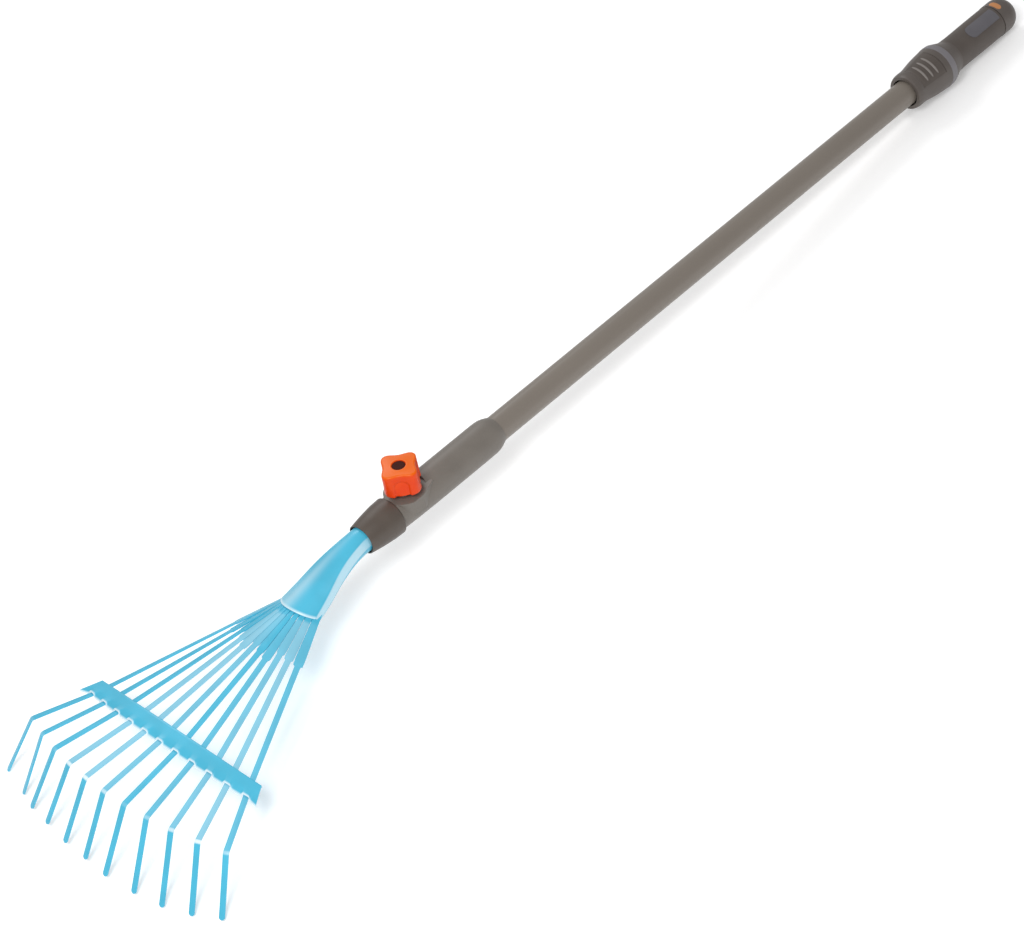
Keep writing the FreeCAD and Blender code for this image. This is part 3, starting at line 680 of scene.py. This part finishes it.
coat = (0.185, 0.160, 0.135)
tube_coat = material("pole_coat", coat, 0.4, tube_paint)
acetal = (0.035, 0.035, 0.036)
black_acetal = material("black_acetal", acetal, 0.35, moulded(acetal, 0.0006, 0.000006))
aluminium = (0.66, 0.66, 0.67)
drawn_aluminium = material("drawn_aluminium", aluminium, 0.28, drawn(aluminium, 0.20), metallic=1.0)
carry("outer_tube", tube_coat)
carry("inner_tube", drawn_aluminium)
carry("lock_nut", turned_brass)
for node in ("tube_end_bush", "lock_collet", "lock_cone"):
    carry(node, black_acetal)

# ---------------------------------------------------------------- Grip
# Hard core with an open sleeve around the pole and a bulge for the thumb, a ring let into the
# bulge, a ribbed soft pad, a soft hold with a plain inlay, and a domed cap with a coloured mark.
core = (0.090, 0.075, 0.066)
grip_plastic = material("grip_plastic", core, 0.45, moulded(core))
soft = (0.078, 0.063, 0.054)


def soft_paint(place):
    cloud = place.noise(0.02, 3.0)
    pebble = place.node("TexVoronoi", {"feature": "SMOOTH_F1"}, Vector=place, Scale=900.0)
    tint = cloud.within(0.3, 0.7).between(shade(soft, 0.94), shade(soft, 1.06))
    return tint, cloud * 0.08 + 0.52, pebble * 0.00002


soft_rubber = material("soft_rubber", soft, 0.6, soft_paint)
inlay = (0.105, 0.100, 0.112)
inlay_plastic = material("inlay_plastic", inlay, 0.35, moulded(inlay, 0.0005, 0.000008))
ring_colour = (0.165, 0.155, 0.165)
ring_plastic = material("ring_plastic", ring_colour, 0.35, moulded(ring_colour, 0.0005, 0.000008))
bronze = (0.48, 0.20, 0.07)
badge_plastic = material("badge_plastic", bronze, 0.4, moulded(bronze, 0.0005, 0.000006))
# The ribs are coloured much paler than the pad, as painted highlights along their crests.
rib_highlight = (0.200, 0.178, 0.165)
rib_highlight_rubber = material("rib_highlight_rubber", rib_highlight, 0.4, moulded(rib_highlight, 0.0006, 0.00001))
for node, finish in (("grip_body", grip_plastic), ("soft_grip", soft_rubber),
                     ("label_inlay", inlay_plastic), ("end_cap", grip_plastic),
                     ("cap_badge", badge_plastic), ("grip_pin", zinc_plate)):
    carry(node, finish)

sleeve = ((791.3, 19.4), (803.3, 20.8), (817.3, 22.4), (831.3, 24.1), (842.0, 24.8), (848.0, 25.0),
          (852.5, 24.6))
grip_roll = 24.0                                 # degrees that the grip stands turned at rest


def sleeve_radius(y):
    """Outer radius of the sleeve at a place along it."""
    for (y0, r0), (y1, r1) in zip(sleeve, sleeve[1:]):
        if y <= y1:
            return r0 + (r1 - r0) * (y - y0) / (y1 - y0)
    return sleeve[-1][1]


def on_sleeve(y, angle, lift):
    """Point at a lift above the sleeve, at an angle in degrees from the pad's middle."""
    turned = math.radians(angle + grip_roll)
    radius = sleeve_radius(y) + lift
    return radius * math.sin(turned), y, radius * math.cos(turned)


angles = [-44 + 2 * k for k in range(45)]
rings = []
for y in (801.0, 801.4, 805, 809, 813, 817, 821, 825, 829, 833, 835.6, 836.0):
    lift = 0.05 if 801.2 < y < 835.8 else -0.4
    rings.append([on_sleeve(y, a, lift) for a in angles]
                 + [on_sleeve(y, a, -1.4) for a in reversed(angles)])
skin("thumb_pad_base", "pole", rings, soft_rubber, ["thumb_pad"], sharp=50)
for number, y in enumerate((809.5, 817.5, 825.5), 1):
    rings = []
    for step in range(33):
        angle = -32 + 2 * step
        size = 1.25 * math.sqrt(max(0.02, 1 - (angle / 33) ** 4))
        rings.append([on_sleeve(y + 1.1 * size * math.cos(t), angle, 0.72 * size * math.sin(t))
                      for t in [math.pi * k / 8 for k in range(16)]])
    skin("thumb_rib_%d" % number, "pole", rings, rib_highlight_rubber, ["thumb_pad"])

outline = eased([(844.0, 23.6, 0), (844.0, 25.15, 0.35), (848.2, 25.25, 6), (852.5, 24.9, 0.35),
                 (852.5, 23.6, 0)])
lathe("thumb_ring", "pole", outline, ring_plastic, ["grip_band"])
